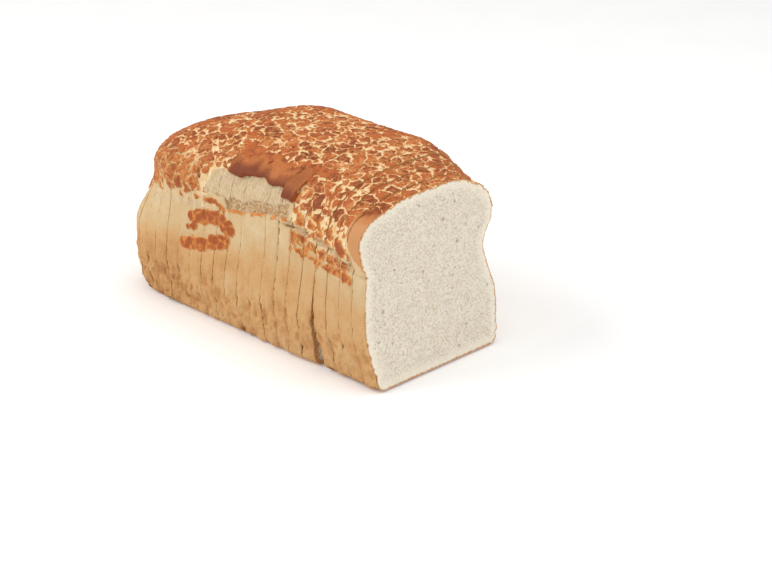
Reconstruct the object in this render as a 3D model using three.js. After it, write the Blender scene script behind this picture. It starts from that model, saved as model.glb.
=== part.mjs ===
// A sliced tiger bread tin loaf whose slices still stand together.
// Millimetres, +Z up. +X runs along the loaf from its heel to the cut face, and the loaf stands on z = 0.
// The rear slices stand upright as a block. The front slices lean back against them.
import * as THREE from "three";

// Slicing.
const SLICE_THICKNESS = 11.7;
const SLICE_GAP = 0.3;
const REAR_SLICE_COUNT = 16;
const FRONT_SLICE_COUNT = 4;
const HEEL_THICKNESS = 12;

// Each front slice leans back about its own rear bottom edge, against the upright block behind.
const FRONT_LEAN = THREE.MathUtils.degToRad(5.2);
const LEAN_CLEARANCE = 0.3;

// The lower part of a cross-section, which the tin shaped: the walls flare up from a rounded base.
const BASE_HALF_WIDTH = 56;
const BASE_CORNER_RADIUS = 7;
const WALL_HALF_WIDTH = 60;
const WALL_HEIGHT = 34;

// Above the tin's rim each side has a waist, then a shoulder, then a dome that closes at the crown.
// Mid-loaf the left side tore as it rose, so its shoulder sank and the dome filled to the right.
const END_SHAPE = {
  left: { waist: 57.5, waistHeight: 78, shoulder: 61.5, shoulderHeight: 97, domeExponent: 2.3 },
  right: { waist: 50.5, waistHeight: 70, shoulder: 58.5, shoulderHeight: 88, domeExponent: 2.3 },
  crown: { offset: 3, height: 121 },
};
const MIDDLE_SHAPE = {
  left: { waist: 54.5, waistHeight: 68, shoulder: 53.5, shoulderHeight: 82, domeExponent: 2.7 },
  right: { waist: 52, waistHeight: 69, shoulder: 62, shoulderHeight: 90, domeExponent: 4.5 },
  crown: { offset: 28, height: 129 },
};
const DOME_POINTS = 8;
const WALL_STEPS = 70;
const CORNER_STEPS = 3;

// Where the loaf's middle lies behind the upright block's front face.
// The middle shape holds out to one distance from there, and the end shape starts at the other.
const MIDDLE_DISTANCE = 56;
const MIDDLE_SHAPE_REACH = 40;
const END_SHAPE_START = 104;

// The rounded heel end. Its height narrows to a level line on the end wall.
const END_PLAN_LENGTH = 62;
const END_PLAN_EXPONENT = 3;
const END_DOME_LENGTH = 75;
const END_DOME_EXPONENT = 2.5;
const END_DOME_PLAN_LENGTH = 95;
const END_DOME_PLAN_EXPONENT = 1.8;
const END_DOME_BASE_HEIGHT = 98;
const END_BASE_LENGTH = 11;
const END_BASE_EXPONENT = 6;
const END_POLE_HEIGHT = 50;
const END_STATIONS = 11;
const END_FLAT = 0.1; // where the end wall is closed flat, before the curve's own tip

const CRUST_COLOUR = 0xd9a468;
const CRUMB_COLOUR = 0xe6dcc8;
const BREAD_ROUGHNESS = 0.9;

const crust = new THREE.MeshStandardMaterial({
  name: "crust",
  color: CRUST_COLOUR,
  roughness: BREAD_ROUGHNESS,
  metalness: 0,
});

const crumb = new THREE.MeshStandardMaterial({
  name: "crumb",
  color: CRUMB_COLOUR,
  roughness: BREAD_ROUGHNESS,
  metalness: 0,
});

const slicePitch = SLICE_THICKNESS + SLICE_GAP;
const rearBlockLength = REAR_SLICE_COUNT * slicePitch + HEEL_THICKNESS;

// How far a superellipse has opened, 0 to 1, a share of the way in from its tip.
function opening(share, exponent) {
  const toMiddle = 1 - Math.min(share, 1);
  return Math.pow(1 - Math.pow(toMiddle, exponent), 1 / exponent);
}

// Every value of one shape blended with the same value of another.
function blendShapes(from, to, share) {
  const blended = {};
  for (const key of Object.keys(from)) {
    blended[key] = THREE.MathUtils.lerp(from[key], to[key], share);
  }
  return blended;
}

// One long side of a cross-section as points (y, z), from above the base corner to short of the crown.
function sidePoints(sign, side, crown) {
  const points = [
    [BASE_HALF_WIDTH, BASE_CORNER_RADIUS],
    [WALL_HALF_WIDTH, WALL_HEIGHT],
    [side.waist, side.waistHeight],
  ];
  const middle = sign * crown.offset;
  for (let i = 0; i < DOME_POINTS; i += 1) {
    const angle = (i / DOME_POINTS) * (Math.PI / 2);
    const along = Math.pow(Math.cos(angle), 2 / side.domeExponent);
    const up = Math.pow(Math.sin(angle), 2 / side.domeExponent);
    const y = middle + (side.shoulder - middle) * along;
    points.push([y, side.shoulderHeight + (crown.height - side.shoulderHeight) * up]);
  }
  return points.map(([y, z]) => new THREE.Vector3(sign * y, z, 0));
}

// A base corner's arc on one side, from one angle to another.
function cornerPoints(sign, fromAngle, toAngle) {
  const centre = sign * (BASE_HALF_WIDTH - BASE_CORNER_RADIUS);
  const radius = BASE_CORNER_RADIUS;
  return new THREE.EllipseCurve(centre, radius, radius, radius, fromAngle, toAngle).getPoints(CORNER_STEPS);
}

// The closed outline at a distance from the loaf's middle, counterclockwise as seen from +X.
function fullOutline(fromMiddle) {
  const share = THREE.MathUtils.smoothstep(fromMiddle, MIDDLE_SHAPE_REACH, END_SHAPE_START);
  const crown = blendShapes(MIDDLE_SHAPE.crown, END_SHAPE.crown, share);
  const right = sidePoints(1, blendShapes(MIDDLE_SHAPE.right, END_SHAPE.right, share), crown);
  const left = sidePoints(-1, blendShapes(MIDDLE_SHAPE.left, END_SHAPE.left, share), crown);
  const top = new THREE.Vector3(crown.offset, crown.height, 0);
  const walls = new THREE.CatmullRomCurve3([...right, top, ...left.reverse()], false, "centripetal");
  const rightCorner = cornerPoints(1, -Math.PI / 2, 0);
  const leftCorner = cornerPoints(-1, Math.PI, 1.5 * Math.PI);
  return [...rightCorner, ...walls.getSpacedPoints(WALL_STEPS).slice(1, -1), ...leftCorner];
}

// The cross-section at a distance behind the upright block's front face, drawn in near the heel end.
function outlineAt(distance) {
  const toEnd = Math.max(rearBlockLength - distance, END_FLAT);
  const plan = opening(toEnd / END_PLAN_LENGTH, END_PLAN_EXPONENT);
  const domePlan = opening(toEnd / END_DOME_PLAN_LENGTH, END_DOME_PLAN_EXPONENT);
  const dome = opening(toEnd / END_DOME_LENGTH, END_DOME_EXPONENT);
  const base = opening(toEnd / END_BASE_LENGTH, END_BASE_EXPONENT);
  return fullOutline(Math.abs(distance - MIDDLE_DISTANCE)).map(({ x: y, y: z }) => {
    const domed = THREE.MathUtils.smoothstep(z, END_POLE_HEIGHT, END_DOME_BASE_HEIGHT);
    const narrowing = THREE.MathUtils.lerp(plan, domePlan, domed);
    const lowering = z > END_POLE_HEIGHT ? dome : base;
    return new THREE.Vector2(y * narrowing, END_POLE_HEIGHT + (z - END_POLE_HEIGHT) * lowering);
  });
}

// Triangles of a flat outline as index triples, counterclockwise.
function flatTriangles(outline) {
  return THREE.ShapeUtils.triangulateShape(outline, []).map(([a, b, c]) => {
    const area = THREE.ShapeUtils.area([outline[a], outline[b], outline[c]]);
    return area > 0 ? [a, b, c] : [a, c, b];
  });
}

// A closed solid through outlines that stand at rising x.
function loft(stations) {
  const positions = stations.flatMap(({ x, outline }) => outline.flatMap((p) => [x, p.x, p.y]));
  const count = stations[0].outline.length;
  const indices = [];
  for (let ring = 0; ring + 1 < stations.length; ring += 1) {
    for (let i = 0; i < count; i += 1) {
      const a = ring * count + i;
      const b = ring * count + ((i + 1) % count);
      indices.push(a, b, b + count, a, b + count, a + count);
    }
  }
  const last = (stations.length - 1) * count;
  for (const [a, b, c] of flatTriangles(stations[0].outline)) {
    indices.push(a, c, b);
  }
  for (const [a, b, c] of flatTriangles(stations.at(-1).outline)) {
    indices.push(last + a, last + b, last + c);
  }
  const geometry = new THREE.BufferGeometry();
  geometry.setAttribute("position", new THREE.Float32BufferAttribute(positions, 3));
  geometry.setIndex(indices);
  geometry.computeVertexNormals();
  return geometry;
}

// A slice with its rear face at x = 0, cut from the loaf with its front face at a given distance.
function sliceGeometry(frontDistance) {
  return loft([
    { x: 0, outline: outlineAt(frontDistance + SLICE_THICKNESS) },
    { x: SLICE_THICKNESS, outline: outlineAt(frontDistance) },
  ]);
}

function heelGeometry() {
  const stations = [];
  for (let i = 0; i < END_STATIONS; i += 1) {
    const share = i / (END_STATIONS - 1);
    const x = END_FLAT + (HEEL_THICKNESS - END_FLAT) * share * share;
    stations.push({ x, outline: outlineAt(rearBlockLength - x) });
  }
  return loft(stations);
}

function rearBlock() {
  const block = new THREE.Group();
  const heel = new THREE.Mesh(heelGeometry(), crust);
  heel.name = "heel";
  heel.position.x = -rearBlockLength;
  block.add(heel);
  for (let i = 0; i < REAR_SLICE_COUNT; i += 1) {
    const frontDistance = (REAR_SLICE_COUNT - 1 - i) * slicePitch;
    const slice = new THREE.Mesh(sliceGeometry(frontDistance), crumb);
    slice.name = `rear_slice_${String(i + 1).padStart(2, "0")}`;
    slice.position.x = -frontDistance - SLICE_THICKNESS;
    block.add(slice);
  }
  return block;
}

// The rearmost front slice touches the upright block with the top of its rear face.
function frontBlock() {
  const block = new THREE.Group();
  const touchingHeight = Math.max(...outlineAt(-SLICE_GAP).map((point) => point.y));
  block.position.x = touchingHeight * Math.sin(FRONT_LEAN) + LEAN_CLEARANCE;
  for (let i = 0; i < FRONT_SLICE_COUNT; i += 1) {
    const slice = new THREE.Mesh(sliceGeometry(-(i + 1) * slicePitch), crumb);
    slice.name = `front_slice_${i + 1}`;
    slice.position.x = (i * slicePitch) / Math.cos(FRONT_LEAN);
    slice.rotation.y = -FRONT_LEAN;
    block.add(slice);
  }
  return block;
}

const loaf = new THREE.Group();
loaf.add(rearBlock(), frontBlock());

// The frame's origin is the middle of the loaf's box, on the floor.
const box = new THREE.Box3().setFromObject(loaf);
const middle = box.getCenter(new THREE.Vector3());
loaf.position.set(-middle.x, -middle.y, -box.min.z);

export default loaf;
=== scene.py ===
"""A sliced tiger bread loaf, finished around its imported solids.

Every slice and the heel are rebuilt as closed meshes on the shape of their solids. Lengths inside this
file are in millimetres until a mesh is made, and x is counted back from the upright block's front face.
"""
import itertools
import math

import bpy
import numpy as np
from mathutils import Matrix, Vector


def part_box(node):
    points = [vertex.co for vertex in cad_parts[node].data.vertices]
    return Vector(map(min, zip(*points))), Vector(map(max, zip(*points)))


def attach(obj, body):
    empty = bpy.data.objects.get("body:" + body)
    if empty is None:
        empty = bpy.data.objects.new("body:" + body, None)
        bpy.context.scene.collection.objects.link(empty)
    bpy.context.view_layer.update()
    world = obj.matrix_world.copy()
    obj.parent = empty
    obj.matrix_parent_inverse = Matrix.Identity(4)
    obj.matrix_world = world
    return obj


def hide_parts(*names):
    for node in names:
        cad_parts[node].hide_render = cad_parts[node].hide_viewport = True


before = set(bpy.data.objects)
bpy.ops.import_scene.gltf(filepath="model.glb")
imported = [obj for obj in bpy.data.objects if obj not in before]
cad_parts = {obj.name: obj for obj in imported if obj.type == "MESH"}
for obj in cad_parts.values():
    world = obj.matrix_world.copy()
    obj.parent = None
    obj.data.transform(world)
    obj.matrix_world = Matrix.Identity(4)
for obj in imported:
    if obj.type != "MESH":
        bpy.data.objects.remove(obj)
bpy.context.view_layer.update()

bl_info = {
    "name": "Tiger bread loaf",
    "version": (1, 0, 0),
    "blender": (4, 5, 0),
    "location": "3D View > Sidebar > Loaf",
    "description": "Bakes the crust, the cut slices and the stage of a sliced tiger bread loaf",
    "category": "Object",
}

MM = 0.001

# The loaf's shape, as its solids have it.
SLICE_THICKNESS = 11.7
SLICE_PITCH = 12.0
HEEL_THICKNESS = 12.0
REAR_SLICES = [f"rear_slice_{i:02d}" for i in range(1, 17)]
FRONT_SLICES = [f"front_slice_{i}" for i in range(1, 5)]
UPRIGHT_LENGTH = len(REAR_SLICES) * SLICE_PITCH + HEEL_THICKNESS
LEAN = math.radians(5.2)
SWELL = 0.11  # how far a soft slice swells past each face of its solid

BASE_HALF_WIDTH = 56.0
BASE_CORNER_RADIUS = 7.0
WALL_HALF_WIDTH = 60.0
WALL_HEIGHT = 34.0
END_SHAPE = {
    "left": (57.5, 78.0, 61.5, 97.0, 2.3),
    "right": (50.5, 70.0, 58.5, 88.0, 2.3),
    "crown": (3.0, 121.0),
}
MIDDLE_SHAPE = {
    "left": (54.5, 68.0, 53.5, 82.0, 2.7),
    "right": (52.0, 69.0, 62.0, 90.0, 4.5),
    "crown": (28.0, 129.0),
}
DOME_POINTS = 8
MIDDLE_DISTANCE = 56.0
MIDDLE_SHAPE_REACH = 40.0
END_SHAPE_START = 104.0

# How the end rounds off: over which length, and with which exponent.
END_PLAN = 62.0, 3.0
END_DOME = 75.0, 2.5
END_DOME_PLAN = 95.0, 1.8
END_BASE = 11.0, 6.0
END_DOME_BASE_HEIGHT = 98.0
END_POLE_HEIGHT = 50.0
FACE_CENTRE = (0.0, 66.0)


# ---------------- number helpers


def smoothstep(value, low, high):
    """Rises smoothly from 0 at low to 1 at high."""
    share = np.clip((value - low) / (high - low), 0.0, 1.0)
    return share * share * (3.0 - 2.0 * share)


def falloff(value, low, high):
    """Falls smoothly from 1 at low to 0 at high."""
    return 1 - smoothstep(value, low, high)


def mix(a, b, share):
    return a + (b - a) * share


def random_of(cells, seed):
    """An even random number from 0 to 1 for each whole-number cell."""
    c = cells.astype(np.int64)
    h = (c[..., 0] * 73856093) ^ (c[..., 1] * 19349663) ^ (c[..., 2] * 83492791) ^ (seed * 2654435761)
    h &= 0xFFFFFFFF
    for _ in range(2):
        h = (((h >> 16) ^ h) * 0x45D9F3B) & 0xFFFFFFFF
    h = (h >> 16) ^ h
    return h / 4294967295.0


def jitter(cells, seed):
    """A random vector, each part from 0 to 1, for each cell."""
    return np.stack([random_of(cells, seed + axis) for axis in range(3)], -1)


def lumps(points, size, seed):
    """Smooth noise from -1 to 1, with lumps about one size across."""
    scaled = points / np.asarray(size, dtype=float)
    cell = np.floor(scaled).astype(np.int64)
    inside = scaled - cell
    inside = inside * inside * (3.0 - 2.0 * inside)
    total = np.zeros(points.shape[:-1])
    for corner in itertools.product((0, 1), repeat=3):
        weight = np.ones(points.shape[:-1])
        for axis, end in enumerate(corner):
            weight = weight * (inside[..., axis] if end else 1.0 - inside[..., axis])
        total += weight * random_of(cell + np.array(corner), seed)
    return total * 2.0 - 1.0


def rough(points, size, seed, octaves=3):
    """Lumps on lumps, each octave half the size and half as strong."""
    total = np.zeros(points.shape[:-1])
    for octave in range(octaves):
        total += lumps(points, np.asarray(size, dtype=float) / 2**octave, seed + octave) / 2**octave
    return total


NEIGHBOURS = np.array(list(itertools.product((-1, 0, 1), repeat=3)))


def plates(points, size, seed):
    """How far each point lies inside its plate's edge, and a random tone for the plate."""
    scaled = points / size
    base = np.floor(scaled).astype(np.int64)
    centres = np.array([cell + 0.05 + 0.9 * jitter(cell, seed) for cell in base + NEIGHBOURS[:, None]])
    nearest = np.argmin(((centres - scaled) ** 2).sum(-1), axis=0)
    own = np.take_along_axis(centres, nearest[None, :, None], 0)[0]
    edge = np.full(len(points), 9.0)
    for centre in centres:
        across = centre - own
        length = np.linalg.norm(across, axis=-1)
        apart = length > 1e-6
        gap = (((centre + own) / 2 - scaled) * across).sum(-1) / np.where(apart, length, 1.0)
        edge = np.where(apart, np.minimum(edge, gap), edge)
    tone = random_of(np.floor(own * 1000).astype(np.int64), seed + 7)
    return edge * size, tone


# ---------------- the loaf's shape


def opening(to_end, length, exponent):
    """How much of the full section is left at a distance from the end."""
    return (1.0 - (1.0 - min(to_end / length, 1.0)) ** exponent) ** (1.0 / exponent)


def side_points(sign, side, crown):
    waist, waist_height, shoulder, shoulder_height, exponent = side
    points = [(BASE_HALF_WIDTH, BASE_CORNER_RADIUS), (WALL_HALF_WIDTH, WALL_HEIGHT), (waist, waist_height)]
    middle = sign * crown[0]
    for i in range(DOME_POINTS):
        angle = i / DOME_POINTS * math.pi / 2
        along = math.cos(angle) ** (2 / exponent)
        up = math.sin(angle) ** (2 / exponent)
        height = shoulder_height + (crown[1] - shoulder_height) * up
        points.append((middle + (shoulder - middle) * along, height))
    return [(sign * y, z) for y, z in points]


def spline(points, steps=24):
    """A centripetal Catmull-Rom curve through the points."""
    p = np.array(points)
    p = np.vstack([2 * p[0] - p[1], p, 2 * p[-1] - p[-2]])
    reach = np.sqrt(np.linalg.norm(np.diff(p, axis=0), axis=1))
    t = np.arange(steps)[:, None] / steps
    runs = []
    for i in range(1, len(p) - 2):
        a, b, c = reach[i - 1], reach[i], reach[i + 1]
        start = ((p[i] - p[i - 1]) / a - (p[i + 1] - p[i - 1]) / (a + b) + (p[i + 1] - p[i]) / b) * b
        end = ((p[i + 1] - p[i]) / b - (p[i + 2] - p[i]) / (b + c) + (p[i + 2] - p[i + 1]) / c) * b
        cubic = 2 * p[i] - 2 * p[i + 1] + start + end
        square = -3 * p[i] + 3 * p[i + 1] - 2 * start - end
        runs.append(p[i] + start * t + square * t**2 + cubic * t**3)
    return np.vstack([*runs, p[-2][None]])


def corner_arc(sign, start, end, steps=12):
    angle = np.linspace(start, end, steps + 1)
    centre = sign * (BASE_HALF_WIDTH - BASE_CORNER_RADIUS)
    y = centre + BASE_CORNER_RADIUS * np.cos(angle)
    return np.stack([y, BASE_CORNER_RADIUS * (1 + np.sin(angle))], -1)


def full_outline(from_middle, columns):
    """The closed section, counterclockwise as seen from the cut end, in evenly spaced points."""
    share = float(smoothstep(from_middle, MIDDLE_SHAPE_REACH, END_SHAPE_START))
    shape = {key: mix(np.array(MIDDLE_SHAPE[key]), np.array(END_SHAPE[key]), share) for key in END_SHAPE}
    right = side_points(1, shape["right"], shape["crown"])
    left = side_points(-1, shape["left"], shape["crown"])
    over = spline([*right, tuple(shape["crown"]), *left[::-1]])
    loop = np.vstack([
        [(0.0, 0.0)],
        corner_arc(1, -math.pi / 2, 0.0),
        over[1:-1],
        corner_arc(-1, math.pi, 1.5 * math.pi),
        [(0.0, 0.0)],
    ])
    run = np.concatenate([[0.0], np.cumsum(np.linalg.norm(np.diff(loop, axis=0), axis=1))])
    at = np.arange(columns) / columns * run[-1]
    return np.stack([np.interp(at, run, loop[:, 0]), np.interp(at, run, loop[:, 1])], -1)


def outline_at(distance, columns):
    """The section at a distance behind the upright block's front face."""
    to_end = max(UPRIGHT_LENGTH - distance, 0.02)
    plan, dome_plan = opening(to_end, *END_PLAN), opening(to_end, *END_DOME_PLAN)
    dome, base = opening(to_end, *END_DOME), opening(to_end, *END_BASE)
    outline = full_outline(abs(distance - MIDDLE_DISTANCE), columns)
    y, z = outline[:, 0], outline[:, 1]
    narrowing = mix(plan, dome_plan, smoothstep(z, END_POLE_HEIGHT, END_DOME_BASE_HEIGHT))
    lowering = np.where(z > END_POLE_HEIGHT, dome, base)
    return np.stack([y * narrowing, END_POLE_HEIGHT + (z - END_POLE_HEIGHT) * lowering], -1)


# ---------------- where each kind of crust lies


# Curves along the loaf's left side: distances behind the front face, then the heights there.
REAR_PASTE_FOOT = (115, 150, 189, 204), (80, 75, 62, 55)
ISLAND_FOOT = (-40, -20, 0, 30), (65, 67, 69, 74)
TEAR_FOOT = (39, 80, 86, 89, 108), (92.5, 84.5, 83.5, 91.0, 92.0)
SPRING_CRACK = (-48, -42, -31, -22, -8, 4, 20), (77, 78, 80.5, 84, 87, 88, 90)
BAND_FOOT = (-48, -36), (77, 92)
PALE_FROM = (-48, -28, 14, 33, 72, 131, 165, 204), (66, 71, 75, 73, 70, 65, 60, 54)

# Patches of paste low on the torn side: lines of (distance behind the front face, height) and half widths.
LOW_PATCHES = [
    ([(126, 52), (108, 55), (96, 60), (86, 62)], 6.0),
    ([(118, 71), (104, 75), (92, 75), (84, 70)], 6.8),
    ([(123, 63), (116, 65)], 3.6),
    ([(108, 86), (98, 87), (90, 83)], 3.6),
]
FLAP_START, FLAP_END = 21.0, 92.0
FLAP_HEIGHT = 111.0
TEAR_END = 108.0

# Where the flap starts and the tear ends: heights, then the distances there.
FLAP_FRONT = (108, 118), (FLAP_START, 0.0)
TEAR_REAR = (86, 92, 104, 112), (112, 111, 105, 95)

# How far up the flap's dark lower edge reaches: distances, then the widths there.
DARK_EDGE = (30, 50, 75, 90), (8.0, 6.5, 10.0, 12.0)


def on_curve(value, curve):
    """The curve's height, distance or strength at a value."""
    return np.interp(value, *curve)


def line_distance(d, z, line):
    """Distance in the side's plane to a line drawn through a few points."""
    nearest = np.full(d.shape, 1e3)
    for (x0, z0), (x1, z1) in zip(line, line[1:]):
        ux, uz = x1 - x0, z1 - z0
        share = np.clip(((d - x0) * ux + (z - z0) * uz) / (ux * ux + uz * uz), 0, 1)
        nearest = np.minimum(nearest, np.hypot(d - x0 - share * ux, z - z0 - share * uz))
    return nearest


def flap_edge(d):
    """Height of the brown flap's lower edge, with a lobe that hangs low on one slice."""
    wave = 0.9 * np.sin(d * 0.21 + 1.0) + 0.5 * np.sin(d * 0.47)
    rounding = 1 - 0.25 * np.abs(np.clip((d - 30) / 6, -1, 1)) ** 3
    lobe = -6.0 * falloff(d, 35.8, 36.4) * rounding
    return FLAP_HEIGHT + wave + lobe - 2.8 * smoothstep(d, 68, 86) + 14.5 * falloff(d, 23.0, 24.4)


class Place:
    """Where points of (x, y, z) lie on the loaf, with ragged borders between the kinds of crust."""

    def __init__(self, p):
        self.p = p
        self.wobble = rough(p, 7.0, 31)
        self.above_edge = p[:, 2] + 0.7 * rough(p, 7.0, 33, 2) - flap_edge(-p[:, 0])
        self.d = -p[:, 0] + 1.2 * self.wobble
        self.y = p[:, 1]
        self.z = p[:, 2] + 1.2 * rough(p, 6.0, 47)
        self.left = smoothstep(-self.y, -6.0, 6.0)
        self.on_side = smoothstep(-self.y, 40, 44)
        self.low_side = self.left * falloff(self.y, -45, -40)
        self.first_slice = smoothstep(-self.d, 34.6, 35.4)
        self.behind_tear = smoothstep(self.d, TEAR_END - 6, TEAR_END + 10)
        self.rear_foot = on_curve(self.d, REAR_PASTE_FOOT)


def paste_zones(at):
    """Where rice paste lies: pool is in the low patches, and melt is where it has run into the wall."""
    d, z, left, rear_foot = at.d, at.z, at.left, at.rear_foot
    right_paste = smoothstep(z, rear_foot, rear_foot + 14)
    rear_paste = smoothstep(z, rear_foot, rear_foot + 16)
    over_tear = smoothstep(at.above_edge, -0.5, 1.0)
    beside_tear = smoothstep(d, FLAP_START + 1, FLAP_START + 4) * (1 - at.behind_tear)
    island_foot = on_curve(d, ISLAND_FOOT)
    front_paste = 0.8 * smoothstep(z, island_foot, island_foot + 4) + 0.2 * smoothstep(z, 99, 110)
    left_paste = mix(mix(front_paste, over_tear, beside_tear), rear_paste, at.behind_tear)
    left_paste = mix(left_paste, smoothstep(z, 108, 115), at.first_slice)
    paste = mix(right_paste, left_paste, left)
    pool = np.zeros(len(d))
    for line, half in LOW_PATCHES:
        pool = np.maximum(pool, falloff(line_distance(d, z, line), half - 3.0, half + 1.0))
    pool *= at.low_side
    paste = np.maximum(paste, 0.95 * pool)
    islands = left * falloff(d, 24, 34) * falloff(z, 98, 108) * (1 - at.first_slice)
    rear_low = 0.5 * left * smoothstep(d, 105, 130) * falloff(z, 103, 116) * (paste > 0.02)
    under_spring = falloff(z - on_curve(d, SPRING_CRACK), -6, -1)
    melt = np.maximum(np.maximum(pool, rear_low), islands * under_spring)
    low = np.maximum(melt, islands)
    return {"paste": paste, "pool": pool, "islands": islands, "melt": melt, "low": low}


def tear_zones(at):
    """Where the crust is torn: its deep crumbs, the seam ahead of it, and the thin paste along its foot."""
    p, d, z, left, rear_foot = at.p, at.d, at.z, at.left, at.rear_foot
    foot, rear = on_curve(d, TEAR_FOOT), on_curve(z, TEAR_REAR)
    in_tear = smoothstep(d, 24, 30) * falloff(d, rear - 2, rear)
    torn = left * in_tear * smoothstep(z, foot, foot + 1.2) * falloff(at.above_edge, -1, 0) * at.on_side
    seam = smoothstep(d, -40, -34) * falloff(d, 24, 30) * smoothstep(rough(p, 7.0, 55, 2), -0.7, 0.0)
    seam *= left * at.on_side * falloff(np.abs(z - on_curve(d, SPRING_CRACK) - 0.8), 1.4, 3.4)
    ledge = smoothstep(z, rear_foot - 3, rear_foot) * falloff(z, rear_foot + 3, rear_foot + 6)
    ledge *= left * at.behind_tear * smoothstep(rough(p, 9.0, 51), -0.5, 0.1)
    torn = np.maximum(torn, 0.75 * ledge * falloff(d, 190, 202))
    grain_top = foot + 8.0 * falloff(d, 84, 90) + 1.6 * rough(p, 5.0, 53)
    grain = torn * in_tear * falloff(z, grain_top, grain_top + 1.2)
    off_foot = np.abs(z - foot) * (0.7 + 0.6 * np.abs(np.sin(d * 0.31)))
    patch = falloff(off_foot, 0.7, 1.3) * in_tear * smoothstep(rough(p, 5.0, 77), -0.5, -0.1)
    patch *= falloff(d, 84, 87) * at.low_side
    return {
        "torn": np.maximum(torn, 0.9 * seam), "grain": np.maximum(grain, 0.6 * seam),
        "seam": seam, "patch": patch,
    }


def skin_zones(at):
    """Where the crust is smooth skin: the flap over the tear, and the band beside the front cut."""
    front, band_foot = on_curve(at.z, FLAP_FRONT), on_curve(at.d, BAND_FOOT)
    in_flap = smoothstep(at.d, front - 1, front + 3) * falloff(at.d, FLAP_END - 5, FLAP_END + 1)
    flap = at.left * in_flap * smoothstep(at.above_edge, -0.4, 0.4)
    flap *= falloff(at.z + 2.5 * at.wobble, 115.0, 124.0) * mix(0.45, 1.0, smoothstep(at.d, 20, 26))
    band = at.left * at.first_slice * smoothstep(at.z, band_foot, band_foot + 7) * falloff(at.z, 110, 118)
    return {"flap": flap, "band": band, "skin": np.maximum(flap, band)}


def crust_zones(p):
    """Masks from 0 to 1, for points of (x, y, z), of what the crust is made of there."""
    at = Place(p)
    zones = {**paste_zones(at), **tear_zones(at), **skin_zones(at)}
    zones["paste"] *= 1 - 0.9 * zones["seam"]
    zones.update({"left": at.left, "wobble": at.wobble, "above_edge": at.above_edge})
    return zones


def wall_bake_and_shade(p):
    """How far the plain crust is baked: 0 is pale dough, 1 is dark brown. Low down it also holds painted
    shade in the crevices between the pebbles.
    """
    d, z = -p[:, 0], p[:, 2]
    pale_from = on_curve(d, PALE_FROM)
    golden = mix(0.55, 0.64, smoothstep(d, 110, 150))
    bake_and_shade = mix(golden, 0.24, smoothstep(z, pale_from - 22, pale_from + 7))
    bake_and_shade += 0.22 * falloff(z, 0.5, 5.0)
    bake_and_shade += 0.035 * rough(p, (2.2, 2.2, 40.0), 91) + 0.07 * rough(p, 16.0, 95)
    # Painted shade in the crevices between the pebbles low down.
    bake_and_shade += 0.15 * falloff(z, 26, 46) * smoothstep(-pebbles(p), 0.1, 0.8)
    bake_and_shade += 0.14 * falloff(z, 6, 22) * smoothstep(rough(p, 6.0, 99), 0.35, 0.9)
    heel_foot = smoothstep(d, 180, 200) * falloff(z, 8, 30)
    bake_and_shade += 0.14 * heel_foot * smoothstep(rough(p, 9.0, 98), -0.1, 0.6)
    return np.clip(bake_and_shade, 0.02, 1.0)


# ---------------- the crust's relief


def pebbles(p):
    return rough(p, (4.5, 4.5, 5.5), 87, 2)


def plate_edges(p, zones, sizes):
    """How far points lie inside a plate's edge and inside a crazed chip's edge, and their tone."""
    paste, pool, islands, skin = (zones[name] for name in ("paste", "pool", "islands", "skin"))
    warped = p + np.stack([2.0 * rough(p, 6.0, seed) for seed in (3, 5, 8)], -1)
    coarse, tone = plates(warped, sizes.plate_size / MM, 11)
    fine, fine_tone = plates(warped + 40.0, sizes.chip_size / MM, 23)
    half_crack = sizes.crack_width / MM / 2
    open_more = smoothstep(rough(p, 17.0, 61, 2), 0.35, 0.95)
    open_more *= mix(0.35, 1.0, smoothstep(-p[:, 0], 5, 40))
    jagged = (0.35 + 0.55 * np.maximum(islands, pool)) * rough(p, 2.4, 63, 2)
    crack = coarse + jagged - half_crack * (0.6 + 1.6 * open_more) - 3.6 * (1 - paste) ** 1.2
    crack = np.where(paste < 0.02, -3.0, crack)
    crack += 4.5 * skin + 0.35 * zones["melt"] + 0.3 * pool + 0.15 * islands
    crack += 0.85 * smoothstep(pool, 0.7, 1.0) * smoothstep(rough(p, 6.0, 69, 2), -0.5, 0.1)
    chips = smoothstep(rough(p, 14.0, 67, 2), -0.6, 0.2)
    craze = fine + 0.5 * jagged - mix(-1.0, 0.3, chips)
    craze = np.minimum(craze + 3.0 * skin + 1.2 * pool, crack)
    return crack, craze, tone, mix(tone, fine_tone, 0.4)


def plate_relief(p, zones, crack, craze, tone, sizes):
    raised = smoothstep(crack, -0.35, 0.6)
    relief = raised * sizes.plate_height / MM * (0.75 + 0.5 * tone) + 0.2 * smoothstep(crack, 0.5, 3.0)
    relief -= 0.35 * raised * falloff(craze, -0.1, 0.45)
    relief -= 0.4 * smoothstep(-crack, 0.2, 1.2) * zones["paste"]
    return relief + 0.10 * rough(p, 1.6, 71, 2) * raised


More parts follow.
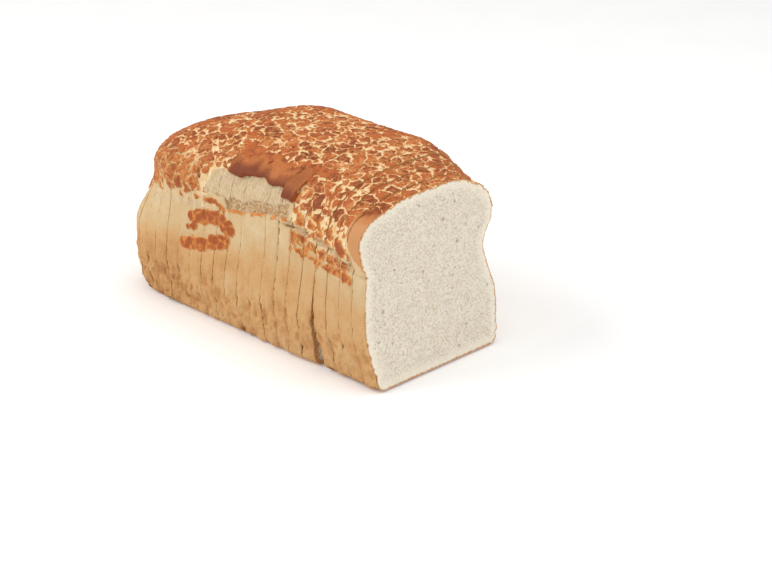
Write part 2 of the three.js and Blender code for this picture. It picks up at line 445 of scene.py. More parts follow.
def skin_relief(p, zones, sizes):
    """Relief of the smooth skins, and where the flap rolls under or has one of its two small holes, which
    the finish darkens with painted shade.
    """
    d, y, z = -p[:, 0], p[:, 1], p[:, 2]
    flap, above_edge, wobble = zones["flap"], zones["above_edge"], zones["wobble"]
    bulge = 0.3 + 0.7 * np.sqrt(1 - (1 - np.clip(above_edge / 3.5, 0.0, 1.0)) ** 2)
    lift = (sizes.flap_lift / MM * falloff(z, 110.0, 123.0) - 0.6) * bulge
    relief = flap * (lift + 0.35 * rough(p, 8.0, 73) + 0.12 * rough(p, 2.0, 74))
    on_lobe = smoothstep(d, 23, 24) * falloff(d, 35.5, 36.5)
    roll = 1 - (1 - 0.45 * on_lobe) * smoothstep(above_edge + 1.6 * wobble, 0.5, on_curve(d, DARK_EDGE))
    roll *= flap * smoothstep(d, 22, 25)
    holes = np.hypot(d - 60, y + 17) / 1.7, np.hypot(d - 44, (y + 17) * 0.6) / 1.6
    hole = falloff(np.minimum(*holes) + 0.3 * wobble, 0.5, 1.2)
    relief += zones["band"] * (0.5 + 0.15 * rough(p, 5.0, 75)) - 2.5 * hole
    return relief, np.maximum(roll, hole)


def torn_relief(p, zones):
    """Relief of the tear's upright fibres, of the crumbs at its foot and of the thin paste below."""
    fibres = rough(p, (1.6, 3.0, 11.0), 81)
    relief = zones["torn"] * (-0.6 + 0.45 * fibres + 0.5 * lumps(p, 9.0, 82))
    relief += zones["grain"] * (-1.3 + 0.8 * rough(p, 2.4, 83, 3))
    return relief + zones["patch"] * (0.45 + 0.2 * rough(p, 2.5, 85))


def wall_relief(p):
    """Relief of the plain crust: upright ripples, and pebbles with crevices low down."""
    low_down = falloff(p[:, 2], 26, 44)
    relief = (0.12 + 1.2 * low_down) * pebbles(p) + low_down * 0.22 * rough(p, 2.0, 88, 2)
    relief += 0.10 * rough(p, (1.4, 1.4, 18.0), 89)
    return relief - low_down * 0.5 * smoothstep(rough(p, (4.0, 4.0, 7.0), 90), 0.55, 0.95)


def spring_groove(p, zones):
    """Where the loaf has cracked along the front slices as it rose."""
    d = -p[:, 0]
    off_line = np.abs(p[:, 2] - on_curve(d, SPRING_CRACK) - 1.2 * zones["wobble"])
    return zones["left"] * falloff(off_line, 0.3, 1.4) * falloff(d, 30, 38)


SHADED_ZONES = ("low", "melt", "torn", "grain", "flap", "band", "patch", "paste")


def crust_fields(p, sizes):
    """Relief in millimetres and the shading fields, for points on the loaf's plain skin."""
    zones = crust_zones(p)
    crack, craze, plate_tone, tone = plate_edges(p, zones, sizes)
    relief = plate_relief(p, zones, crack, craze, plate_tone, sizes)
    skins, roll = skin_relief(p, zones, sizes)
    relief += skins + torn_relief(p, zones)
    plain = (1 - zones["paste"]) * (1 - zones["torn"]) * (1 - zones["skin"])
    relief += plain * wall_relief(p)
    groove = spring_groove(p, zones)
    relief -= 1.1 * groove * (1 - zones["band"]) * smoothstep(-p[:, 1], 40, 45)
    relief += 0.5 * lumps(p, 24.0, 93)

    fields = {name: zones[name] for name in SHADED_ZONES}
    fields.update({"crack": crack, "craze": craze, "tone": tone, "bake_and_shade": wall_bake_and_shade(p), "roll": roll})
    # The groove field becomes painted shade along the spring crack.
    fields["groove"] = groove * smoothstep(rough(p, 6.0, 97), -0.4, 0.3)
    return relief, fields


# ---------------- meshes


def unit(vectors):
    return vectors / np.maximum(np.linalg.norm(vectors, axis=-1, keepdims=True), 1e-9)


def normals_of(grid):
    """Outward normals of side rings held as (stations, columns, 3)."""
    back = np.gradient(grid, axis=0)
    around = np.roll(grid, -1, axis=1) - np.roll(grid, 1, axis=1)
    return unit(np.cross(back, around))


def side_grid(distances, columns):
    return np.stack([np.column_stack([np.full(columns, -d), outline_at(d, columns)]) for d in distances])


# How far the crust draws back beside the cuts at these distances, and beside any other cut; these numbers
# also set the painted shade in each cut.
OPEN_CUTS = {36: 1.6, 24: 0.8, 0: 0.7, -36: 0.8, -12: 0.2, -24: 0.2}
CLOSED_CUT = 0.45
# Heights, then how strongly a cut draws the crust in and how dark its painted shade is there.
CUT_HEIGHTS = (0, 30, 42, 70, 80, 100, 114), (1.9, 1.7, 0.7, 0.5, 0.8, 0.8, 0.25)
NO_CUT = 1e6  # stands for the rear cut of the heel, which has none

# Columns round a slice's crust, and the step between its stations.
SLICE_DETAIL = 864, 0.5
HEEL_DETAIL = 864, 0.55
STATIONS_AT_CUT = np.array([0.0, 0.15, 0.4, 0.8])
STATIONS_PAST_CUT = 1.2


def cut_rounding(grid, front, rear):
    """How far the crust draws in beside the cuts at its two edges, and how much painted shade each point
    gets for lying close to one.
    """
    d, z = -grid[..., 0], grid[..., 2]
    inset, painted_cut_shade = np.zeros(d.shape), np.zeros(d.shape)
    for side, (cut, away) in enumerate(((round(front), d - front), (round(rear), rear - d))):
        along = grid * (0.1, 1, 1)
        ragged = 1.9 * np.abs(rough(along, 5.0, 411 + side)) + 0.9 * np.abs(rough(along, 17.0, 421 + side))
        opened = OPEN_CUTS.get(cut, CLOSED_CUT)
        ragged = np.clip(ragged - 0.25, 0.5 if opened > 0.6 else 0.06, 2.0)
        strength = ragged * mix(on_curve(z, CUT_HEIGHTS), 0.75, smoothstep(opened, 0.5, 0.9))
        reach = 0.35 + 0.5 * opened
        inset += opened * strength * np.exp(-away / reach) + 0.1 * np.exp(-away / 0.3)
        painted_cut_shade = np.maximum(painted_cut_shade, strength * np.exp(-away / (0.6 * reach)))
    return inset, painted_cut_shade


def bake_side(grid, front, rear, offset, sizes):
    """Side rings with their relief, and the shading fields on them."""
    relief, fields = crust_fields(grid.reshape(-1, 3), sizes)
    shape = grid.shape[:2]
    fields = {name: value.reshape(shape) for name, value in fields.items()}
    relief = relief.reshape(shape) - 0.45 * fields["paste"] + offset
    inset, painted_cut_shade = cut_rounding(grid, front, rear)
    closed = 1 - 0.7 * fields["flap"]
    relief -= inset * closed
    # The cut field is painted shade: dark in the crevices at the cuts and in the spring crack's groove.
    fields["cut"] = np.maximum(painted_cut_shade * closed, 1.1 * fields.pop("groove"))
    relief *= smoothstep(grid[..., 2], 0.2, 3.5)
    baked = grid + normals_of(grid) * relief[..., None]
    baked[..., 2] -= fields["roll"] * sizes.flap_droop / MM
    baked[..., 2] = np.maximum(baked[..., 2], 0.0)
    baked[..., 0] = np.clip(baked[..., 0], -rear, -front)
    baked[0, :, 0] = -front
    if rear != NO_CUT:
        baked[-1, :, 0] = -rear
    return baked, fields


CAP_REACH = 58.0  # about how far a cut face's middle lies from its rim
HIDDEN_RIM_SHADE = 4.0  # how much deeper the brown rim goes on the cut faces inside the loaf, as painted shade for the narrow gaps between slices
MOST_HALVINGS = 4  # how often a ring's columns halve towards a cut face's middle


def cap_shares(first, growth, widest):
    """Shares of the way from the rim to the middle, in steps that widen."""
    steps, step, run = [], first, 0.0
    while run + step < CAP_REACH - widest * 0.7:
        run += step
        steps.append(run / CAP_REACH)
        step = min(step * growth, widest)
    return steps


HIDDEN_SHARES = cap_shares(0.5, 1.6, 9.0)


def pores(points, size, largest, seed):
    """How deep each point lies in a bubble of the crumb, in millimetres."""
    scaled = points / size
    base = np.floor(scaled).astype(np.int64)
    deepest = np.zeros(len(points))
    for cell in base + NEIGHBOURS[:, None]:
        centre = cell + jitter(cell, seed)
        radius = largest * random_of(cell, seed + 3) ** 2.2
        gap = np.linalg.norm((centre - scaled) * size, axis=-1)
        deepest = np.maximum(deepest, radius - gap)
    return deepest


def cap_rings(rim, fields, shares, facing, detail):
    """Rings of a cut face from rim to middle; facing is 1 for a front face and -1 for a rear one.

    The rim is part of the crust, so its own fields get the rind and depth that the face starts with.
    """
    middle = np.array([rim[0, 0], *FACE_CENTRE])
    ray = rim - middle
    around = np.roll(rim, -1, axis=0) - np.roll(rim, 1, axis=0)
    out = unit(np.stack([np.zeros(len(rim)), around[:, 2], -around[:, 1]], -1))
    square = np.abs((ray * out).sum(1))
    plated = fields["paste"] * smoothstep(fields["crack"], -0.5, 0.5)
    rind = np.clip(0.35 + 0.5 * plated + 0.9 * fields["bake_and_shade"], 0, 1)
    rind *= 1 - 0.85 * fields["torn"]
    fields.update({"depth": np.zeros(len(rim)), "rind": rind})
    # On the faces inside the loaf the depth is spread out, so the brown rim is drawn wider as painted shade
    # for the gaps between slices.
    rim_shade_spread = 1.0 if detail else HIDDEN_RIM_SHADE
    rings = []
    for share in shares:
        halvings = int(-math.log2(1 - share)) if share < 0.96 else MOST_HALVINGS
        keep = slice(None, None, 2**halvings)
        at = (middle + ray * (1 - share))[keep]
        depth = (square * share)[keep]
        pore = np.zeros(len(at))
        if detail:
            at[:, 0] += 0.12 * lumps(at, 26.0, 301)
            # pore is how deep a point lies in a bubble: the face is dented by it, and the crumb finish
            # darkens the bubbles by it as painted shade.
            pore = pores(at, 5.2, 1.7, 311) + pores(at + 50, 2.4, 0.95, 321)
            pore *= smoothstep(depth, 1.4, 9.0) * 0.8 + 0.2 * smoothstep(depth, 1.2, 2.0)
            at[:, 0] -= facing * (pore + 0.08 * rough(at, 1.7, 331, 2) * smoothstep(depth, 0.3, 1.5))
        rings.append((at, {"depth": depth / rim_shade_spread, "rind": rind[keep], "pore": pore}))
    middle_fields = {"depth": CAP_REACH, "rind": 0.3, "pore": 0.0}
    return [*rings, (middle[None], {name: np.array([value]) for name, value in middle_fields.items()})]


def triangles_between(first, count, following, following_count):
    """Triangles from one ring to the next, which has as many columns, half, double, or a single point."""
    if count < following_count:
        return triangles_between(following, following_count, first, count)[:, ::-1]
    if following_count == 1:
        j = np.arange(count)
        return np.stack([first + j, np.full_like(j, following), first + (j + 1) % count], -1)
    if count == following_count:
        j = np.arange(count)
        k = (j + 1) % count
        lower = np.stack([first + j, following + j, following + k], -1)
        upper = np.stack([first + j, following + k, first + k], -1)
        return np.concatenate([lower, upper])
    j = np.arange(following_count)
    k = (j + 1) % following_count
    a, b, c = first + 2 * j, first + 2 * j + 1, first + 2 * k
    d, e = following + j, following + k
    return np.concatenate([np.stack([a, d, b], -1), np.stack([b, d, e], -1), np.stack([b, e, c], -1)])


FIELD_NAMES = (*SHADED_ZONES, "crack", "craze", "tone", "bake_and_shade", "roll", "cut", "depth", "rind", "pore")
CRUST, CRUMB = 0, 1


def closed_mesh(name, rings, kinds, place):
    """A mesh through rings that begin and end in a single point; kinds gives each band's finish."""
    counts = [len(at) for at, _ in rings]
    starts = np.concatenate([[0], np.cumsum(counts)])
    faces, finishes = [], []
    for i, kind in enumerate(kinds):
        band = triangles_between(starts[i], counts[i], starts[i + 1], counts[i + 1])
        faces.append(band)
        finishes.append(np.full(len(band), kind))
    faces = np.concatenate(faces)
    points = place(np.concatenate([at for at, _ in rings])) * MM
    mesh = bpy.data.meshes.new(name)
    mesh.vertices.add(len(points))
    mesh.vertices.foreach_set("co", points.astype(np.float32).ravel())
    mesh.loops.add(faces.size)
    mesh.loops.foreach_set("vertex_index", faces.astype(np.int32).ravel())
    mesh.polygons.add(len(faces))
    mesh.polygons.foreach_set("loop_start", np.arange(0, faces.size, 3, dtype=np.int32))
    mesh.polygons.foreach_set("material_index", np.concatenate(finishes).astype(np.int32))
    mesh.update(calc_edges=True)
    mesh.shade_smooth()
    mesh.set_sharp_from_angle(angle=math.radians(60))
    for field in FIELD_NAMES:
        values = [fields.get(field, np.zeros(len(at))) for at, fields in rings]
        layer = mesh.attributes.new(field, "FLOAT", "POINT")
        layer.data.foreach_set("value", np.concatenate(values).astype(np.float32))
    if mesh.validate():
        raise RuntimeError(f"{name} has faulty faces")
    return mesh


def add_object(name, data):
    thing = bpy.data.objects.new(name, data)
    bpy.context.scene.collection.objects.link(thing)
    return thing


def add_piece(name, mesh, node):
    """The finished piece that stands for a solid."""
    piece = add_object(name, mesh)
    for finish, build in FINISHES.items():
        mesh.materials.append(bpy.data.materials.get(finish) or build(finish))
    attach(piece, "root")
    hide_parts(node)


def side_stations(front, rear, step):
    """Distances across a slice's crust, closer together beside its cuts."""
    first, last = front + STATIONS_PAST_CUT, rear - STATIONS_PAST_CUT
    between = np.linspace(first, last, max(int((last - first) / step), 3) + 1)
    return np.concatenate([front + STATIONS_AT_CUT, between, rear - STATIONS_AT_CUT[::-1]])


def side_rings(grid, fields):
    return [(grid[i], {name: value[i] for name, value in fields.items()}) for i in range(len(grid))]


def slice_mesh(name, front, place, sizes, seen_front=False):
    """One slice: its front face, its band of crust and its rear face in a single skin."""
    columns, step = SLICE_DETAIL
    rear = front + SLICE_THICKNESS + SWELL
    front -= SWELL
    offset = 0.5 * (random_of(np.array([[round(front), 3, 5]]), 401)[0] - 0.5)
    grid = side_grid(side_stations(front, rear, step), columns)
    grid, fields = bake_side(grid, front, rear, offset, sizes)
    sides = side_rings(grid, fields)
    shares = cap_shares(0.35, 1.12, step * 1.1) if seen_front else HIDDEN_SHARES
    front_cap = cap_rings(*sides[0], shares, 1, seen_front)
    rear_cap = cap_rings(*sides[-1], HIDDEN_SHARES, -1, False)
    rings = [*front_cap[::-1], *sides, *rear_cap]
    kinds = [CRUMB] * len(front_cap) + [CRUST] * (len(sides) - 1) + [CRUMB] * len(rear_cap)
    return closed_mesh(name, rings, kinds, place)


def heel_stations(step):
    """Distances over the heel, spaced evenly along its rounded end."""
    to_end = np.geomspace(0.0005, HEEL_THICKNESS + SWELL, 240)[::-1]
    outlines = side_grid(UPRIGHT_LENGTH - to_end, 96)
    moves = np.linalg.norm(np.diff(outlines, axis=0), axis=2).mean(1)
    run = np.concatenate([[0.0], np.cumsum(moves)])
    even = np.arange(0.0, run[-1] * 0.985, step)
    return UPRIGHT_LENGTH - np.interp(even, run, to_end)


def heel_mesh(name, place, sizes):
    """The heel: a cut front face and a rounded crust that closes on the end's middle."""
    columns, step = HEEL_DETAIL
    front = UPRIGHT_LENGTH - HEEL_THICKNESS - SWELL
    grid, fields = bake_side(side_grid(heel_stations(step), columns), front, NO_CUT, 0.0, sizes)
    sides = side_rings(grid, fields)
    cap = cap_rings(*sides[0], HIDDEN_SHARES, 1, False)
    girth = np.linalg.norm(grid - np.roll(grid, 1, axis=1), axis=2).sum(1)
    thinned = []
    for (at, values), length in zip(sides, girth):
        keep = slice(None, None, 2 ** min(max(int(math.log2(girth[0] / length)), 0), 5))
        thinned.append((at[keep], {key: value[keep] for key, value in values.items()}))
    last, last_values = thinned[-1]
    pole_values = {key: value.mean(keepdims=True) for key, value in last_values.items()}
    pole = (last.mean(0, keepdims=True), pole_values)
    rings = [*cap[::-1], *thinned, pole]
    return closed_mesh(name, rings, [CRUMB] * len(cap) + [CRUST] * len(thinned), place)


def place_upright(points):
    """Puts points on the upright block, whose front face the frame gives."""
    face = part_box("rear_slice_16")[1].x / MM
    return points + np.array([face, 0.0, 0.0])


# The leaning slices are soft and bow back towards the block: how far at each height.
BOW_HEIGHTS = (0, 15, 35, 50, 65, 85, 110, 129)
BOW = (2.2, 3.8, 5.4, 6.2, 5.3, 3.5, 1.3, 0.0)


def place_leaning(node, front):
    """Returns a mover that leans a slice back about its own rear bottom edge."""
    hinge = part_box(node)[1].x / MM - SLICE_THICKNESS * math.cos(LEAN)
    rear = front + SLICE_THICKNESS

    def move(points):
        ahead, up = points[:, 0] + rear, points[:, 2]
        x = hinge + ahead * math.cos(LEAN) - up * math.sin(LEAN) - np.interp(up, BOW_HEIGHTS, BOW)
        return np.stack([x, points[:, 1], ahead * math.sin(LEAN) + up * math.cos(LEAN)], -1)

    return move


# ---------------- finishes


def linear(colour):
    """A colour property as the shaders take it."""
    return [*(c / 12.92 if c <= 0.04045 else ((c + 0.055) / 1.055) ** 2.4 for c in colour), 1.0]


class Finish:
    """A node material that is put together step by step."""

    def __init__(self, name):
        self.material = bpy.data.materials.new(name)
        self.material.use_nodes = True
        self.tree = self.material.node_tree
        self.tree.nodes.clear()
        self.place = self.add("ShaderNodeTexCoord").outputs["Object"]

    def add(self, kind, inputs=None, **settings):
        node = self.tree.nodes.new(kind)
        for key, value in settings.items():
            setattr(node, key, value)
        for key, value in (inputs or {}).items():
            if isinstance(value, bpy.types.NodeSocket):
                self.tree.links.new(value, node.inputs[key])
            else:
                node.inputs[key].default_value = value
        return node

    def field(self, name):
        return self.add("ShaderNodeAttribute", attribute_name=name).outputs["Fac"]

    def noise(self, size, detail=3.0, roughness=0.55, stretch=(1, 1, 1)):
        """Noise with lumps about one size across, in millimetres."""
        mapped = self.add("ShaderNodeMapping", {"Vector": self.place, "Scale": stretch}).outputs["Vector"]
        inputs = {"Vector": mapped, "Scale": 1 / (size * MM), "Detail": detail, "Roughness": roughness}
        return self.add("ShaderNodeTexNoise", inputs).outputs["Fac"]

    def cells(self, size):
        inputs = {"Vector": self.place, "Scale": 1 / (size * MM)}
        return self.add("ShaderNodeTexVoronoi", inputs).outputs["Distance"]

    def math(self, operation, a, b=0.0):
        return self.add("ShaderNodeMath", {0: a, 1: b}, operation=operation).outputs[0]

    def map(self, value, low, high, to_low=0.0, to_high=1.0, smooth=True):
        inputs = {"Value": value, "From Min": low, "From Max": high, "To Min": to_low, "To Max": to_high}
        kind = "SMOOTHSTEP" if smooth else "LINEAR"
        return self.add("ShaderNodeMapRange", inputs, interpolation_type=kind, clamp=True).outputs["Result"]

    def mix(self, share, a, b):
        """The share mixed from a to b, which are outputs or colour properties."""
        a, b = (c if isinstance(c, bpy.types.NodeSocket) else linear(c) for c in (a, b))
        return self.add("ShaderNodeMix", {"Factor": share, 6: a, 7: b}, data_type="RGBA").outputs[2]

    def ramp(self, value, stops):
        """Colours along a value from 0 to 1."""
        node = self.add("ShaderNodeValToRGB", {"Fac": value})
        elements = node.color_ramp.elements
        elements[0].position, elements[-1].position = stops[0][0], stops[-1][0]
        for position, _ in stops[1:-1]:
            elements.new(position)
        for element, (_, colour) in zip(elements, stops):
            element.color = linear(colour)
        return node.outputs["Color"]

    def bump(self, height, strength, distance, under=None):
        inputs = {"Height": height, "Strength": strength, "Distance": distance * MM}
        if under is not None:
            inputs["Normal"] = under
        return self.add("ShaderNodeBump", inputs).outputs["Normal"]

    def close(self, colour, roughness, normal, settings):
        inputs = {"Base Color": colour, "Roughness": roughness, "Normal": normal, **settings}
        shader = self.add("ShaderNodeBsdfPrincipled", inputs).outputs["BSDF"]
        self.add("ShaderNodeOutputMaterial", {"Surface": shader})
        return self.material


def crust_finish(name):
    """Baked rice paste in plates over a golden crust, with the torn side and its smooth flap."""
    look = bpy.context.scene.loaf_crust
    f = Finish(name)
    speck, mottle, broad = f.noise(0.9), f.noise(3.5), f.noise(14.0)

    ragged = f.map(f.noise(1.4), 0.2, 0.8, -0.25, 0.25)
    crack = f.math("ADD", f.field("crack"), ragged)
    craze = f.math("ADD", f.field("craze"), ragged)
    tone = f.math("ADD", f.field("tone"), f.map(mottle, 0.25, 0.75, -0.3, 0.3))
    plate = f.ramp(f.map(tone, 0.0, 1.0), [(0.0, look.plate_dark), (0.75, look.plate)])
    plate = f.mix(f.map(speck, 0.55, 0.8, 0.0, 0.3), plate, look.plate_edge)
    soft_stops = [(0.0, look.patch_edge), (0.4, look.patch), (1.0, look.patch_core)]
    soft = f.ramp(f.map(crack, 0.0, 2.2, smooth=False), soft_stops)
    plate = f.mix(f.map(f.field("low"), 0.0, 1.0, 0.0, 0.9), plate, soft)
    plate = f.mix(f.map(craze, 0.0, 0.3, 0.5, 0.0), plate, look.plate_edge)
    rim = f.mix(f.map(f.field("low"), 0.0, 0.25, 0.0, 0.6), look.plate_edge, plate)
    edged = f.mix(f.map(crack, 0.05, 0.4, 1.0, 0.0), plate, rim)
    valley = f.mix(f.map(mottle, 0.35, 0.7), look.crack, look.crack_light)

    # This field holds how far the crust is baked, and low down painted shade between the pebbles.
    bake_and_shade = f.math("ADD", f.field("bake_and_shade"), f.map(speck, 0.2, 0.8, -0.08, 0.08))
    bake_and_shade = f.math("ADD", bake_and_shade, f.map(broad, 0.3, 0.7, -0.07, 0.07))
    wall_stops = [
        (0.0, look.dough), (0.3, look.pale), (0.55, look.golden), (0.78, look.tan), (1.0, look.brown),
    ]
    wall = f.ramp(bake_and_shade, wall_stops)
    freckle = f.map(f.noise(1.8, 2.0), 0.62, 0.72)
    wall = f.mix(f.math("MULTIPLY", freckle, 0.35), wall, look.tan)
    valley = f.mix(f.map(f.field("melt"), 0.0, 0.25, 0.0, 0.9), valley, wall)
    paste = f.mix(f.map(crack, -0.15, 0.15), valley, edged)
    colour = f.mix(f.map(f.field("paste"), 0.02, 0.3), wall, paste)

    fibre = f.noise(1.3, 4.0, 0.6, stretch=(1, 1, 0.22))
    shred = f.mix(f.map(fibre, 0.25, 0.6), look.torn_dark, look.torn)
    colour = f.mix(f.field("torn"), colour, shred)
    crumbs = f.mix(f.map(f.noise(1.6, 4.0), 0.35, 0.65), look.grain_dark, look.torn)
    colour = f.mix(f.field("grain"), colour, crumbs)
    patch = f.mix(f.map(mottle, 0.3, 0.7), look.patch, look.plate_edge)
    patch_edge = f.math("ADD", f.field("patch"), f.map(f.noise(2.2), 0.2, 0.8, -0.5, 0.5))
    colour = f.mix(f.map(patch_edge, 0.35, 0.6), colour, patch)
    smooth = f.mix(f.map(f.noise(2.4, 4.0, 0.7), 0.4, 0.7), look.flap, look.plate)
    smooth = f.mix(f.field("band"), smooth, look.band)
    skin = f.math("MAXIMUM", f.field("flap"), f.field("band"))
    colour = f.mix(f.map(skin, 0.1, 0.9, 0.0, 0.85), colour, smooth)
    # Painted shade under the flap's rolled lower edge and in its two holes.
    colour = f.mix(f.map(f.field("roll"), 0.0, 1.0, 0.0, 0.85), colour, look.flap_edge)
    # Painted shade in the crevices at the cuts and in the spring crack.
    colour = f.mix(f.map(f.field("cut"), 0.2, 1.3, 0.0, 0.75), colour, look.cut_shade)

    height = f.math("ADD", speck, f.math("MULTIPLY", mottle, 0.6))
    normal = f.bump(height, 0.5, 0.35)
    normal = f.bump(f.noise(0.4, 2.0), 0.35, 0.12, normal)
    roughness = f.map(f.math("MAXIMUM", skin, f.map(crack, 0.2, 0.8)), 0.0, 1.0, 0.78, 0.56)
    return f.close(colour, roughness, normal, {"Specular IOR Level": 0.28})


def crumb_finish(name):
    """Soft white crumb with fine pores darkened with painted shade, a dense pale band and a thin brown rind
    at the rim.
    """
    look = bpy.context.scene.loaf_crumb
    f = Finish(name)
    depth = f.math("ADD", f.field("depth"), f.map(f.noise(2.5), 0.2, 0.8, -0.5, 0.5))
    fine, medium = f.cells(1.5), f.cells(3.0)
    inner = f.map(depth, 2.0, 9.0)
    # pit marks the pores, from small cells, noise and the bubbles cut into the face; they are darkened with
    # painted shade.
    pit = f.math("MULTIPLY", f.map(fine, 0.55, 0.15, 0.0, 0.9), f.map(f.noise(3.0), 0.25, 0.6))
    pit = f.math("MAXIMUM", pit, f.math("MULTIPLY", f.map(medium, 0.32, 0.08, 0.0, 0.8), inner))
    pit = f.math("MAXIMUM", pit, f.map(f.noise(1.3, 2.0), 0.52, 0.7, 0.0, 0.8))
    pit = f.math("MAXIMUM", pit, f.map(f.field("pore"), 0.0, 0.6, 0.0, 0.95))
    body = f.mix(inner, look.dense, look.crumb)
    body = f.mix(f.map(f.noise(9.0), 0.3, 0.7, 0.0, 0.4), body, look.dense)
    colour = f.mix(f.math("MULTIPLY", pit, f.map(inner, 0.0, 1.0, 0.25, 0.8)), body, look.pore)
    rind = f.mix(f.map(f.field("rind"), 0.2, 0.9), look.rind_light, look.rind)
    near = f.math("SUBTRACT", depth, f.math("MULTIPLY", f.field("rind"), 0.35))
    colour = f.mix(f.map(near, 0.0, 1.1, 1.0, 0.0), colour, rind)
    height = f.math("SUBTRACT", f.math("MULTIPLY", f.noise(1.0, 4.0, 0.6), 0.7), pit)
    normal = f.bump(height, 0.6, 0.5)
    soft = {"Subsurface Weight": 0.2, "Subsurface Radius": (1.0, 0.8, 0.5), "Subsurface Scale": 0.003}
    return f.close(colour, 0.85, normal, {**soft, "Specular IOR Level": 0.2})


# In the order of CRUST and CRUMB.
FINISHES = {"tiger_crust": crust_finish, "open_crumb": crumb_finish}


def floor_finish():
    """Matt white board with the faintest tooth."""
    f = Finish("studio_board")
    shade = f.mix(f.map(f.noise(60.0), 0.3, 0.7), (0.965, 0.965, 0.965), (0.975, 0.975, 0.972))
    glow = {"Emission Color": (1.0, 1.0, 1.0, 1.0), "Emission Strength": 0.14}
    return f.close(shade, 0.8, f.bump(f.noise(1.5), 0.05, 0.05), {"Specular IOR Level": 0.1, **glow})


# ---------------- settings


def length_property(name, description, default):
    return bpy.props.FloatProperty(
        name=name, description=description, default=default * MM, min=0.0, unit="LENGTH", precision=5,
    )


def colour_property(name, description, default):
    return bpy.props.FloatVectorProperty(
        name=name, description=description, default=default, min=0.0, max=1.0, subtype="COLOR_GAMMA",
    )


class LoafCrust(bpy.types.PropertyGroup):
    """Sizes and colours of the crust"""

    plate_size: length_property("Plate size", "Width of a large plate of rice paste", 8.6)
    chip_size: length_property("Chip size", "Width of the small plates between cracks", 4.6)
    plate_height: length_property("Plate height", "How far a plate stands above its cracks", 0.9)
    crack_width: length_property("Crack width", "Width of an ordinary crack", 1.2)
    flap_lift: length_property("Flap lift", "How far the torn flap stands off the side", 4.2)
    flap_droop: length_property("Flap droop", "How far the flap's edge hangs over the tear", 2.0)
    plate: colour_property("Plate", "Baked rice paste", (0.73, 0.385, 0.175))
    plate_dark: colour_property("Dark plate", "The most baked plates", (0.52, 0.245, 0.10))
    plate_edge: colour_property("Plate edge", "Thin edges of the plates", (0.86, 0.60, 0.35))
    crack: colour_property("Crack", "Crust in the cracks", (0.91, 0.77, 0.57))
    crack_light: colour_property("Pale crack", "Palest crust in the cracks", (0.94, 0.86, 0.70))
    dough: colour_property("Dough", "Palest crust of the side", (0.87, 0.785, 0.63))
    pale: colour_property("Pale crust", "Pale yellow crust", (0.822, 0.703, 0.525))
    golden: colour_property("Golden crust", "Crust of the lower side", (0.81, 0.63, 0.42))
    tan: colour_property("Tan crust", "Well baked crust", (0.73, 0.52, 0.315))
    brown: colour_property("Brown crust", "Most baked crust, along the foot", (0.45, 0.25, 0.12))
    flap: colour_property("Flap", "Smooth skin of the flap", (0.755, 0.475, 0.255))
    # Flap edge is painted shade under the flap's rolled lower edge and in its two holes.
    flap_edge: colour_property("Flap edge", "Dark rolled edge of the flap", (0.43, 0.155, 0.04))
    band: colour_property("Band", "Smooth crust beside the front cut", (0.80, 0.535, 0.32))
    patch_edge: colour_property("Patch edge", "Thin paste round the low plates", (0.89, 0.64, 0.34))
    patch_core: colour_property("Patch core", "Thick paste of the low plates", (0.64, 0.32, 0.12))
    patch: colour_property("Patch", "Paler plates low on the side", (0.80, 0.48, 0.21))
    # Cut edge is painted shade for the crevices at the cuts and the spring crack.
    cut_shade: colour_property("Cut edge", "Crust beside the cuts", (0.48, 0.31, 0.175))
    torn: colour_property("Tear", "Fibres in the tear", (0.84, 0.75, 0.61))
    grain_dark: colour_property("Deep crumb", "Shaded crumbs at the foot of the tear", (0.71, 0.53, 0.33))
    torn_dark: colour_property("Deep tear", "Shaded fibres in the tear", (0.735, 0.625, 0.475))


class LoafCrumb(bpy.types.PropertyGroup):
    """Colours of the cut faces"""

    crumb: colour_property("Crumb", "Open crumb in the middle", (0.90, 0.862, 0.805))
    dense: colour_property("Dense crumb", "Closer crumb beside the crust", (0.945, 0.91, 0.84))
    # Pore is painted shade inside the pores.
    pore: colour_property("Pore", "Inside of the pores", (0.77, 0.69, 0.555))
    rind: colour_property("Rind", "Brown rim of a cut face", (0.77, 0.56, 0.35))
    rind_light: colour_property("Pale rind", "Least baked rim of a cut face", (0.88, 0.73, 0.51))


class LoafStage(bpy.types.PropertyGroup):
    """The floor, the lights and the camera"""

    azimuth: bpy.props.FloatProperty(
        name="Azimuth", description="The camera's direction round the loaf",
        default=math.radians(45.0), subtype="ANGLE",
    )
    elevation: bpy.props.FloatProperty(
        name="Elevation", description="The camera's angle above the floor",
        default=math.radians(23.44), subtype="ANGLE",
    )
    distance: length_property("Distance", "From the camera to the point it looks at", 1278.7)
    ahead: length_property("Ahead", "How far in front of the upright block the camera looks", 8.9)
    height: length_property("Height", "Height of the point that the camera looks at", 40.2)
    lens: bpy.props.FloatProperty(
        name="Lens", description="Focal length of the camera in millimetres", default=91.3, unit="CAMERA",
    )


# ---------------- operators


class LOAF_OT_heel(bpy.types.Operator):
    """Bakes the rounded heel at the loaf's rear end"""

    bl_idname = "loaf.bake_heel"
    bl_label = "Bake heel"

    def execute(self, context):
        mesh = heel_mesh("loaf_heel", place_upright, context.scene.loaf_crust)
        add_piece("loaf_heel", mesh, "heel")
        return {"FINISHED"}


class LOAF_OT_upright_slices(bpy.types.Operator):
    """Bakes the slices that stand upright in a block"""

    bl_idname = "loaf.bake_upright_slices"
    bl_label = "Bake upright slices"

    def execute(self, context):
        for i, node in enumerate(REAR_SLICES):
            front = (len(REAR_SLICES) - 1 - i) * SLICE_PITCH
            name = "loaf_" + node
            mesh = slice_mesh(name, front, place_upright, context.scene.loaf_crust)
            add_piece(name, mesh, node)
        return {"FINISHED"}


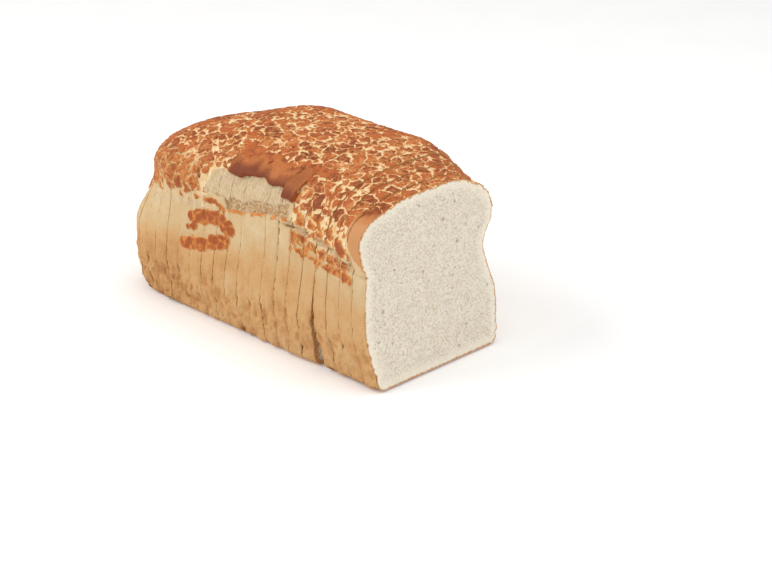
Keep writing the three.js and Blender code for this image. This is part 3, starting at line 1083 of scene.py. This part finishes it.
class LOAF_OT_leaning_slices(bpy.types.Operator):
    """Bakes the slices that lean back on the block, the last with its cut face in view"""

    bl_idname = "loaf.bake_leaning_slices"
    bl_label = "Bake leaning slices"

    def execute(self, context):
        for i, node in enumerate(FRONT_SLICES):
            front = -(i + 1) * SLICE_PITCH
            name = "loaf_" + node
            seen = node == FRONT_SLICES[-1]
            move = place_leaning(node, front)
            mesh = slice_mesh(name, front, move, context.scene.loaf_crust, seen_front=seen)
            add_piece(name, mesh, node)
        return {"FINISHED"}


def add_area(name, at, target, size, power, colour=(1.0, 1.0, 1.0)):
    """A soft square light that faces a point."""
    data = bpy.data.lights.new(name, "AREA")
    data.size, data.energy, data.color = size, power, colour
    light = add_object(name, data)
    light.location = at
    light.rotation_euler = (Vector(target) - Vector(at)).to_track_quat("-Z", "Y").to_euler()


class LOAF_OT_stage(bpy.types.Operator):
    """Sets the pale floor, the soft lights and the camera"""

    bl_idname = "loaf.set_stage"
    bl_label = "Set stage"

    def execute(self, context):
        scene, stage = context.scene, context.scene.loaf_stage
        mesh = bpy.data.meshes.new("floor")
        reach = 6.0
        corners = [(-reach, -reach, 0), (reach, -reach, 0), (reach, reach, 0), (-reach, reach, 0)]
        mesh.from_pydata(corners, [], [(0, 1, 2, 3)])
        mesh.materials.append(floor_finish())
        floor = add_object("floor", mesh)
        floor.location.z = -0.0002

        world = bpy.data.worlds.new("studio")
        world.use_nodes = True
        background = world.node_tree.nodes["Background"]
        background.inputs["Color"].default_value = (1.0, 0.995, 0.985, 1.0)
        background.inputs["Strength"].default_value = 0.5
        scene.world = world
        middle = (0.0, 0.0, 0.06)
        add_area("key", (-0.75, -1.0, 1.15), middle, size=0.9, power=13.0, colour=(1.0, 0.985, 0.96))
        add_area("top", (0.2, 0.3, 1.5), middle, size=1.2, power=8.0)
        add_area("fill", (1.5, 0.35, 0.6), middle, size=1.0, power=5.0)

        data = bpy.data.cameras.new("camera")
        data.lens, data.sensor_width = stage.lens, 36.0
        data.clip_start, data.clip_end = 0.01, 20.0
        camera = add_object("camera", data)
        flat = math.cos(stage.elevation)
        back = Vector((
            math.sin(stage.azimuth) * flat, -math.cos(stage.azimuth) * flat, math.sin(stage.elevation),
        ))
        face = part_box(REAR_SLICES[-1])[1].x
        camera.location = Vector((face + stage.ahead, 0.0, stage.height)) + back * stage.distance
        camera.rotation_euler = (-back).to_track_quat("-Z", "Y").to_euler()
        scene.camera = camera
        scene.view_settings.view_transform = "Standard"
        return {"FINISHED"}


class LOAF_PT_panel(bpy.types.Panel):
    """Lists the loaf's operators and settings"""

    bl_label = "Tiger bread loaf"
    bl_idname = "LOAF_PT_panel"
    bl_space_type = "VIEW_3D"
    bl_region_type = "UI"
    bl_category = "Loaf"

    def draw(self, context):
        for operator in OPERATORS:
            self.layout.operator(operator.bl_idname)
        for name in SETTINGS:
            group = getattr(context.scene, name)
            box = self.layout.box()
            for key in group.__annotations__:
                box.prop(group, key)


OPERATORS = (LOAF_OT_stage, LOAF_OT_heel, LOAF_OT_upright_slices, LOAF_OT_leaning_slices)
SETTINGS = {"loaf_crust": LoafCrust, "loaf_crumb": LoafCrumb, "loaf_stage": LoafStage}


def register():
    for cls in (*SETTINGS.values(), *OPERATORS, LOAF_PT_panel):
        bpy.utils.register_class(cls)
    for name, group in SETTINGS.items():
        setattr(bpy.types.Scene, name, bpy.props.PointerProperty(type=group))


def unregister():
    for name in SETTINGS:
        delattr(bpy.types.Scene, name)
    for cls in reversed((*SETTINGS.values(), *OPERATORS, LOAF_PT_panel)):
        bpy.utils.unregister_class(cls)


def main():
    register()
    bpy.ops.loaf.set_stage()
    bpy.ops.loaf.bake_heel()
    bpy.ops.loaf.bake_upright_slices()
    bpy.ops.loaf.bake_leaning_slices()


if __name__ == "__main__":
    main()
